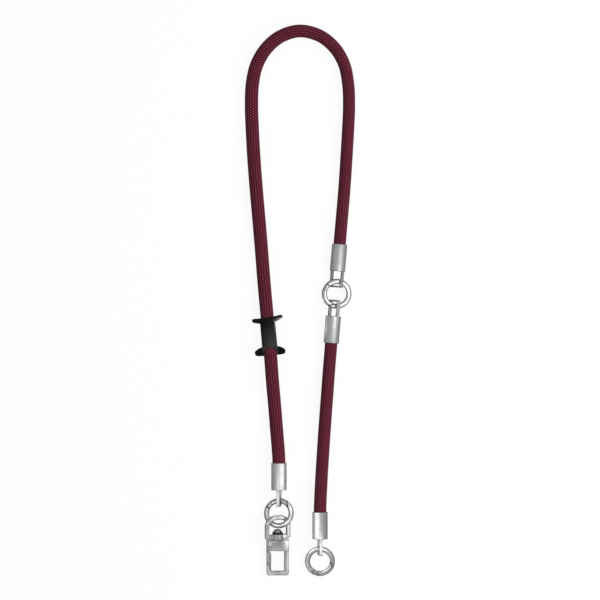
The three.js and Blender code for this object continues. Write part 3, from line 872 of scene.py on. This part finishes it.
def model_swivel():
    """Pin with a stepped, domed head that holds the clasp's frame to the boss."""
    seat = BOSS_TOP + HEAD_GAP
    stations = [(SHANK_RADIUS, SHANK_BOTTOM), (SHANK_RADIUS, seat)]
    for radius, height in HEAD_STEPS:
        stations.append((radius * HEAD_RADIUS, seat + height * HEAD_HEIGHT))
    swivel = turned("swivel", stations)
    # painted shadow on the head's lowest steps, where it sits over the boss
    low, high = HEAD_SHADE
    mark_painted_shade(swivel, lambda p: low < (p.y - seat) / HEAD_HEIGHT < high)
    shade(swivel)
    return swivel


def slope_height(outer, inner, x):
    """Height at x of a slanting edge, from its heights at the leg's outer and inner side."""
    return outer + (inner - outer) * (x + FRAME_HALF_WIDTH) / (FRAME_HALF_WIDTH - WINDOW_HALF_WIDTH)


def wedge(name, top, bottom):
    """Block round the left leg between two slanting edges, each given as (outer, inner)."""
    left = -FRAME_HALF_WIDTH - CUTTER_SPARE
    right = -WINDOW_HALF_WIDTH + CUTTER_SPARE
    piece = block(name, (left, right), (-1, 1), centred(CUTTER_THICKNESS))
    for x in (left, right):
        for side, edge in ((1, top), (-1, bottom)):
            edit(piece, points=lambda p: abs(p.x - x) < HAIR and abs(p.y - side) < HAIR)
            move(slope_height(*edge, x) - side)
            leave()
    return piece


def model_window():
    """Cutter for the bow's window, rounded at its two lower corners."""
    window = block("window", centred(2 * WINDOW_HALF_WIDTH),
                   (WINDOW_BOTTOM, FRAME_TOP + CUTTER_SPARE), centred(CUTTER_THICKNESS))
    edit(window, edges=lambda a, b: is_upright(a, b) and a.y < WINDOW_BOTTOM + CLOSE)
    bpy.ops.mesh.bevel(offset=WINDOW_CORNER * MM, segments=4)
    leave()
    return window


def on_window_rim(a, b):
    """Whether an edge of the bow runs round its window, on either face and below the top."""
    level = abs(a.z - b.z) < HAIR and abs(abs(a.z) - FRAME_THICKNESS / 2) < HAIR
    inside = all(abs(p.x) < WINDOW_HALF_WIDTH + CLOSE and p.y > WINDOW_BOTTOM - CLOSE
                 for p in (a, b))
    return level and inside and min(a.y, b.y) < FRAME_TOP - CLOSE


def model_bow():
    """Rectangular bow: both legs and the bottom bar, with its chamfered window."""
    bow = block("bow", centred(2 * FRAME_HALF_WIDTH), (FRAME_BOTTOM, FRAME_TOP),
                centred(FRAME_THICKNESS))
    edit(bow, edges=lambda a, b: is_upright(a, b) and a.y < FRAME_BOTTOM + CLOSE)
    bpy.ops.mesh.bevel(offset=FRAME_CORNER * MM, segments=8)
    leave()
    carve(bow, model_window())
    edit(bow, edges=on_window_rim)
    bpy.ops.mesh.bevel(offset=FRAME_CHAMFER * MM, segments=1)
    leave()
    return bow


def model_plate():
    """Bare plate, a little darker all over as painted shade, slotted on its left for the gate's
    tongue.
    """
    plate = block("plate", centred(2 * PLATE_HALF_WIDTH), (PLATE_BOTTOM, PLATE_TOP),
                  centred(PLATE_THICKNESS))
    soften(plate, PLATE_EDGE)
    # painted shade, a little, over the whole plate
    mark_painted_shade(plate, lambda p: True, PLATE_SHADE)
    carve(plate, block("slot", (-PLATE_HALF_WIDTH - CUTTER_SPARE, PLATE_SLOT_SIDE),
                       (PLATE_BOTTOM - CUTTER_SPARE, RIVET_Y + PLATE_SLOT_ROOM),
                       centred(SLOT_THICKNESS)))
    return plate


def model_frame(bow):
    """Plate with the bow below it, open where the gate closes the left leg."""
    clasp = copy_of(bow, "clasp")
    seam = (SEAM_OUTER_Y - SEAM_GAP, SEAM_INNER_Y - SEAM_GAP)
    carve(clasp, wedge("opening", (0, 0), seam))
    soften(clasp, FRAME_EDGE)
    fuse(clasp, model_plate())
    shade(clasp)
    # painted shade on the window's inner walls and along the plate's lower edge
    mark_painted_shade(clasp, lambda p: abs(p.x) < WINDOW_HALF_WIDTH + CLOSE
               and WINDOW_BOTTOM - CLOSE < p.y < PLATE_BOTTOM, EDGE_SHADE)
    mark_painted_shade(clasp, lambda p: SHADE_START < p.y - PLATE_BOTTOM < SHADE_REACH, EDGE_SHADE)
    return clasp


def model_gate(bow):
    """Spring gate of the clasp, with the tongue that its rivet goes through."""
    gate = copy_of(bow, "gate")
    keep = wedge("keep", (SHOULDER_OUTER_Y, SHOULDER_INNER_Y), (SEAM_OUTER_Y, SEAM_INNER_Y))
    carve(gate, keep, "INTERSECT")
    soften(gate, FRAME_EDGE)
    tongue = block("tongue", GATE_TONGUE_SIDES, (SHOULDER_INNER_Y - GATE_TONGUE_ROOT, RIVET_Y),
                   centred(GATE_TONGUE_THICKNESS))
    eye = peg("eye", GATE_RIVET_X, RIVET_Y, GATE_EYE_RADIUS, GATE_TONGUE_THICKNESS)
    fuse(gate, tongue, eye)
    shade(gate)
    return gate


def model_rivet(x):
    """Rivet through the plate, with a low domed head on each side."""
    head = [(RIVET_HEAD_RADIUS * share, PLATE_THICKNESS / 2 + rise)
            for share, rise in RIVET_HEAD_STEPS]
    stations = [(RIVET_RADIUS, 0), (RIVET_RADIUS, PLATE_THICKNESS / 2), *head]
    stations = [(radius, -y) for radius, y in reversed(stations[1:])] + stations
    rivet = turned("rivet", stations, 32)
    rivet.data.transform(shift(x, RIVET_Y) @ turn(90, "X"))
    shade(rivet, 60)
    return rivet


def add_clasp(metals):
    """The clasp's six pieces: name, model, roll about its axis, body, metal and slot."""
    bow = model_bow()
    parts = [
        ("clasp_loop", model_loop(), LOOP_ROLL, "strap", "polished nickel", "nickel"),
        ("swivel_pin", model_swivel(), 0, "clasp", "dark nickel", "dark_nickel"),
        ("clasp_frame", model_frame(bow), 0, "clasp", "polished nickel", "nickel"),
        ("clasp_gate", model_gate(bow), 0, "gate", "polished nickel", "nickel"),
        ("clasp_gate_rivet", model_rivet(GATE_RIVET_X), 0,
         "clasp", "bright nickel", "dark_nickel"),
        ("clasp_frame_rivet", model_rivet(FRAME_RIVET_X), 0,
         "clasp", "bright nickel", "dark_nickel"),
    ]
    bpy.data.objects.remove(bow)
    axis = shift(*CLASP_CENTRE) @ turn(CLASP_PITCH, "X")
    for name, piece, roll, body, metal, slot in parts:
        piece.name = f"{name}_fine"
        piece.data.name = piece.name
        settle(piece, axis @ turn(roll, "Y"), body, metals[metal])


# ---------------------------------------------------------------- rope slider

def model_ears(end, lean, slant=0):
    """One pair of ears: an oval plate across the rope, swept out and leaning."""
    half = SLIDER_LENGTH / 2
    bpy.ops.mesh.primitive_grid_add(
        x_subdivisions=32, y_subdivisions=16, size=2 * MM, rotation=(math.pi / 2, 0, 0))
    ears = new_piece("ears")
    for vertex in ears.data.vertices:
        x, z = vertex.co.x / MM, vertex.co.z / MM
        reach_x = x * math.sqrt(1 - z * z / 2) * EAR_SPAN / 2
        reach_z = z * math.sqrt(1 - x * x / 2) * (SLIDER_RADIUS - EAR_INSET)
        sweep = EAR_FLARE * (2 * reach_x / EAR_SPAN) ** 2
        y = end * (half - EAR_THICKNESS / 2 + sweep) + math.tan(math.radians(lean)) * reach_z
        y += math.tan(math.radians(slant)) * reach_x
        vertex.co = Vector((reach_x, y, reach_z)) * MM
    modify(ears, "SOLIDIFY", thickness=EAR_THICKNESS * MM, offset=0)
    soften(ears, EAR_EDGE, 3, 40)
    edit(ears, faces=lambda face: True)
    point_outwards()
    leave()
    return ears


def model_barrel():
    """Barrel whose lower end is cut to the lean of the ears there."""
    half = SLIDER_LENGTH / 2
    lean = math.radians(LOWER_EAR_LEAN)
    barrel = turned("barrel", [(SLIDER_RADIUS, -half - BARREL_SPARE), (SLIDER_RADIUS, half)])
    edit(barrel, faces=lambda face: True)
    bpy.ops.mesh.bisect(plane_co=(0, -half * MM, 0), plane_no=(0, math.cos(lean), -math.sin(lean)),
                        use_fill=True, clear_inner=True)
    leave()
    soften(barrel, BARREL_EDGE, 2)
    return barrel


def add_slider(material):
    slider = model_barrel()
    slider.name = "rope_slider_fine"
    slider.data.name = slider.name
    carve(slider, model_ears(1, UPPER_EAR_LEAN, UPPER_EAR_SLANT), "UNION")
    carve(slider, model_ears(-1, LOWER_EAR_LEAN), "UNION")
    carve(slider, turned("bore", [(SLIDER_BORE, -SLIDER_LENGTH), (SLIDER_BORE, SLIDER_LENGTH)]))
    shade(slider)
    settle(slider, shift(*SLIDER_CENTRE) @ turn(SLIDER_HEADING, "Z"), "strap", material)


# ---------------------------------------------------------------- finishes

class Finish:
    """A node material in the making: small helpers that add and wire nodes."""

    def __init__(self, name):
        self.material = bpy.data.materials.new(name)
        self.material.use_nodes = True
        self.tree = self.material.node_tree
        self.shader = self.tree.nodes["Principled BSDF"]

    def node(self, kind, **settings):
        made = self.tree.nodes.new(kind)
        for key, value in settings.items():
            setattr(made, key, value)
        return made

    def wire(self, value, socket):
        """Sets a socket to a value, or links it to another node's socket."""
        if isinstance(value, bpy.types.NodeSocket):
            self.tree.links.new(value, socket)
        else:
            socket.default_value = value

    def maths(self, operation, a, b=None, c=None):
        made = self.node("ShaderNodeMath", operation=operation)
        for k, value in enumerate((a, b, c)):
            if value is not None:
                self.wire(value, made.inputs[k])
        return made.outputs[0]

    def noise(self, scale, detail, stretch=(1, 1, 1)):
        """Noise on the piece's own coordinates, with a scale per metre."""
        where = self.node("ShaderNodeTexCoord")
        mapping = self.node("ShaderNodeMapping")
        mapping.inputs["Scale"].default_value = stretch
        self.wire(where.outputs["Object"], mapping.inputs["Vector"])
        made = self.node("ShaderNodeTexNoise")
        made.inputs["Scale"].default_value = scale
        made.inputs["Detail"].default_value = detail
        self.wire(mapping.outputs[0], made.inputs["Vector"])
        return made.outputs["Fac"]

    def spread(self, value, low, high, to_low, to_high):
        """Maps the range from low to high onto another one."""
        made = self.node("ShaderNodeMapRange")
        for socket, number in zip(made.inputs[1:5], (low, high, to_low, to_high)):
            socket.default_value = number
        self.wire(value, made.inputs[0])
        return made.outputs[0]

    def blend(self, share, first, second):
        made = self.node("ShaderNodeMix", data_type="RGBA")
        self.wire(share, made.inputs["Factor"])
        self.wire(first, made.inputs[6])
        self.wire(second, made.inputs[7])
        return made.outputs[2]

    def bump(self, height, distance, strength, before=None):
        """Raises the surface by up to a distance in millimetres, on top of the bump before."""
        made = self.node("ShaderNodeBump")
        made.inputs["Distance"].default_value = distance * MM
        made.inputs["Strength"].default_value = strength
        self.wire(height, made.inputs["Height"])
        if before:
            self.wire(before, made.inputs["Normal"])
        return made.outputs[0]

    def give(self, values):
        """Sets the shader's sockets by name and returns the material."""
        for name, value in values.items():
            self.wire(value, self.shader.inputs[name])
        return self.material


def braid_finish():
    """Dark red braid: strands two over and two under, with painted shade where they dip and a
    painted glint on their crowns.
    """
    f = Finish("burgundy braid")
    uv = f.node("ShaderNodeUVMap", uv_map="braid")
    parts = f.node("ShaderNodeSeparateXYZ")
    f.wire(uv.outputs[0], parts.inputs[0])
    a = f.maths("ADD", parts.outputs[0], parts.outputs[1])
    b = f.maths("SUBTRACT", parts.outputs[0], parts.outputs[1])
    i = f.maths("FLOOR", a)
    j = f.maths("FLOOR", b)
    turn_of_four = f.maths("FLOORED_MODULO", f.maths("ADD", i, j), 4)
    first_on_top = f.maths("LESS_THAN", turn_of_four, 1.5)
    across_first = f.maths("SUBTRACT", b, j)
    across_second = f.maths("SUBTRACT", a, i)
    along_first = f.maths("FLOORED_MODULO", f.maths("ADD", a, j), 4)
    along_second = f.maths("SUBTRACT", f.maths("FLOORED_MODULO", f.maths("ADD", b, i), 4), 2)

    def choose(first, second):
        made = f.node("ShaderNodeMix", data_type="FLOAT")
        f.wire(first_on_top, made.inputs[0])
        f.wire(second, made.inputs[2])
        f.wire(first, made.inputs[3])
        return made.outputs[0]

    across = choose(across_first, across_second)
    along = choose(along_first, along_second)
    crown = f.maths("MULTIPLY", f.maths("SINE", f.maths("MULTIPLY", across, math.pi)),
                    f.maths("SINE", f.maths("MULTIPLY", along, math.pi / 2)))
    height = f.maths("POWER", f.maths("MAXIMUM", crown, 0.0), 0.5)
    threads = f.maths("SINE", f.maths("MULTIPLY", across, 10 * math.pi))
    fibres = f.noise(2600, 3)
    patches = f.noise(60, 2)

    # painted shade: darker where the threads dip
    colour = f.blend(f.spread(height, 0.45, 0.97, 0, 1), BRAID_DIP_SHADE, BRAID_CROWN)
    # painted glint on the crowns of the threads
    painted_glint = f.spread(f.maths("ADD", height, f.maths("MULTIPLY", fibres, 0.25)), 1.0, 1.14, 0, 0.7)
    colour = f.blend(painted_glint, colour, BRAID_PAINTED_GLINT)
    colour = f.blend(f.spread(patches, 0.35, 0.7, 0, 0.25), colour, BRAID_PATCH)
    relief = f.maths("ADD", height, f.maths("MULTIPLY", threads, 0.06))
    normal = f.bump(relief, 0.3, 0.8)
    normal = f.bump(fibres, 0.12, 0.4, normal)
    return f.give({"Base Color": colour, "Roughness": 0.85, "Normal": normal,
                   "Sheen Weight": 0.13, "Sheen Roughness": 0.5,
                   "Sheen Tint": BRAID_SHEEN, "Specular IOR Level": 0.12})


def metal_finish(name, light, dark, roughness, grain, unevenness):
    """Plated metal with fine brushing, small unevenness, duller patches, and painted shade on the
    marked points.
    """
    f = Finish(name)
    brushed = f.noise(900, 2, (1, 0.06, 1))
    patches = f.noise(110, 3)
    ripple = f.noise(240, 2)
    colour = f.blend(f.spread(patches, 0.35, 0.7, 0, 1), light, dark)
    # painted shade: the marked points are blended towards a near black
    seam = f.node("ShaderNodeAttribute", attribute_name="seam")
    colour = f.blend(f.maths("MULTIPLY", seam.outputs["Fac"], 0.9), colour, METAL_PAINTED_SHADE)
    rough = f.maths("ADD", f.spread(patches, 0.3, 0.7, roughness, roughness * 1.35),
                    f.maths("MULTIPLY", brushed, grain))
    normal = f.bump(ripple, unevenness, 0.6)
    normal = f.bump(brushed, 0.01, 0.25, normal)
    return f.give({"Base Color": colour, "Metallic": 1.0, "Roughness": rough, "Normal": normal})


def rubber_finish():
    """Matt black moulded rubber: lighter on the barrel with dust and painted light, and plain
    black, as painted shade, towards the barrel's upper end and out on the ears.
    """
    f = Finish("black rubber")
    where = f.node("ShaderNodeTexCoord")
    mapping = f.node("ShaderNodeMapping", vector_type="TEXTURE")
    mapping.inputs["Location"].default_value = [c * MM for c in SLIDER_CENTRE]
    mapping.inputs["Rotation"].default_value = (0, 0, math.radians(SLIDER_HEADING))
    parts = f.node("ShaderNodeSeparateXYZ")
    f.wire(where.outputs["Object"], mapping.inputs["Vector"])
    f.wire(mapping.outputs[0], parts.inputs[0])
    across = f.maths("ABSOLUTE", parts.outputs["X"])
    # painted shade: the lighter grey fades out towards the ears and the barrel's upper end
    barrel = f.spread(across, *(x * MM for x in DUST_AND_LIGHT_SIDE), 1, 0)
    along = f.spread(parts.outputs["Y"], *(y * MM for y in DUST_AND_LIGHT_LENGTH), 1, 0.08)
    pores = f.noise(2200, 2)
    dust = f.noise(140, 4)
    # the lighter grey of dust and painted light, patchy where the dust is
    dust_and_light = f.maths("MULTIPLY", f.maths("MULTIPLY", barrel, along),
                    f.spread(dust, 0.2, 0.75, 0.45, 1))
    colour = f.blend(dust_and_light, RUBBER, RUBBER_DUST_AND_LIGHT)
    rough = f.spread(dust, 0.3, 0.7, 0.55, 0.7)
    return f.give({"Base Color": colour, "Roughness": rough, "Specular IOR Level": 0.12,
                   "Normal": f.bump(pores, 0.04, 0.5)})


# ---------------------------------------------------------------- floor and light

def add_floor():
    """White floor that only the camera sees, so that the fittings mirror the soft room."""
    bpy.ops.mesh.primitive_circle_add(vertices=SIDES, radius=FLOOR_RADIUS * MM, fill_type="NGON")
    floor = new_piece("floor")
    material = bpy.data.materials.new("white floor")
    material.use_nodes = True
    shader = material.node_tree.nodes["Principled BSDF"]
    shader.inputs["Base Color"].default_value = FLOOR_COLOUR
    shader.inputs["Roughness"].default_value = 1.0
    shader.inputs["Specular IOR Level"].default_value = 0.0
    shader.inputs["Emission Color"].default_value = (1, 1, 1, 1)
    shader.inputs["Emission Strength"].default_value = FLOOR_GLOW
    floor.data.materials.append(material)
    floor.visible_diffuse = False
    floor.visible_glossy = False


def add_light(name, place, lean, size, brightness, soft=True, mirrored=True):
    """Panel that faces down, leaning by an angle towards -x.

    Only a soft one lights matt surfaces, and only a mirrored one shows in shiny ones.
    """
    data = bpy.data.lights.new(name, "AREA")
    data.shape = "RECTANGLE"
    data.size, data.size_y = (side * MM for side in size)
    data.energy = brightness * math.pi * data.size * data.size_y
    light = bpy.data.objects.new(name, data)
    light.location = Vector(place) * MM
    light.rotation_euler = (0, math.radians(lean), 0)
    light.visible_camera = False
    light.visible_diffuse = soft
    light.visible_glossy = mirrored
    bpy.context.scene.collection.objects.link(light)


def add_room():
    """Grey room, darker below; the camera itself sees it white beyond the floor's edge."""
    world = bpy.data.worlds.new("studio")
    world.use_nodes = True
    tree = world.node_tree
    background = tree.nodes["Background"]
    where = tree.nodes.new("ShaderNodeTexCoord")
    parts = tree.nodes.new("ShaderNodeSeparateXYZ")
    level = tree.nodes.new("ShaderNodeMapRange")
    rays = tree.nodes.new("ShaderNodeLightPath")
    seen = tree.nodes.new("ShaderNodeMix")
    tree.links.new(where.outputs["Generated"], parts.inputs[0])
    tree.links.new(parts.outputs["Z"], level.inputs["Value"])
    for socket, number in zip(level.inputs[1:5], (*ROOM_BLEND, ROOM_BELOW, ROOM_ABOVE)):
        socket.default_value = number
    tree.links.new(rays.outputs["Is Camera Ray"], seen.inputs[0])
    tree.links.new(level.outputs[0], seen.inputs[2])
    seen.inputs[3].default_value = ROOM_SEEN
    tree.links.new(seen.outputs[0], background.inputs["Strength"])
    background.inputs["Color"].default_value = (1, 1, 1, 1)
    bpy.context.scene.world = world
    bpy.context.scene.view_settings.view_transform = "Standard"


# ---------------------------------------------------------------- the strap

add_camera()
add_floor()
add_room()
add_light("key", *KEY, mirrored=False)
for card_name, card in CARDS.items():
    add_light(card_name, *card, soft=False)

add_ropes(braid_finish())
metals = {name: metal_finish(name, *look) for name, look in METALS.items()}
add_caps(metals)
add_rings(metals)
add_clasp(metals)
add_slider(rubber_finish())
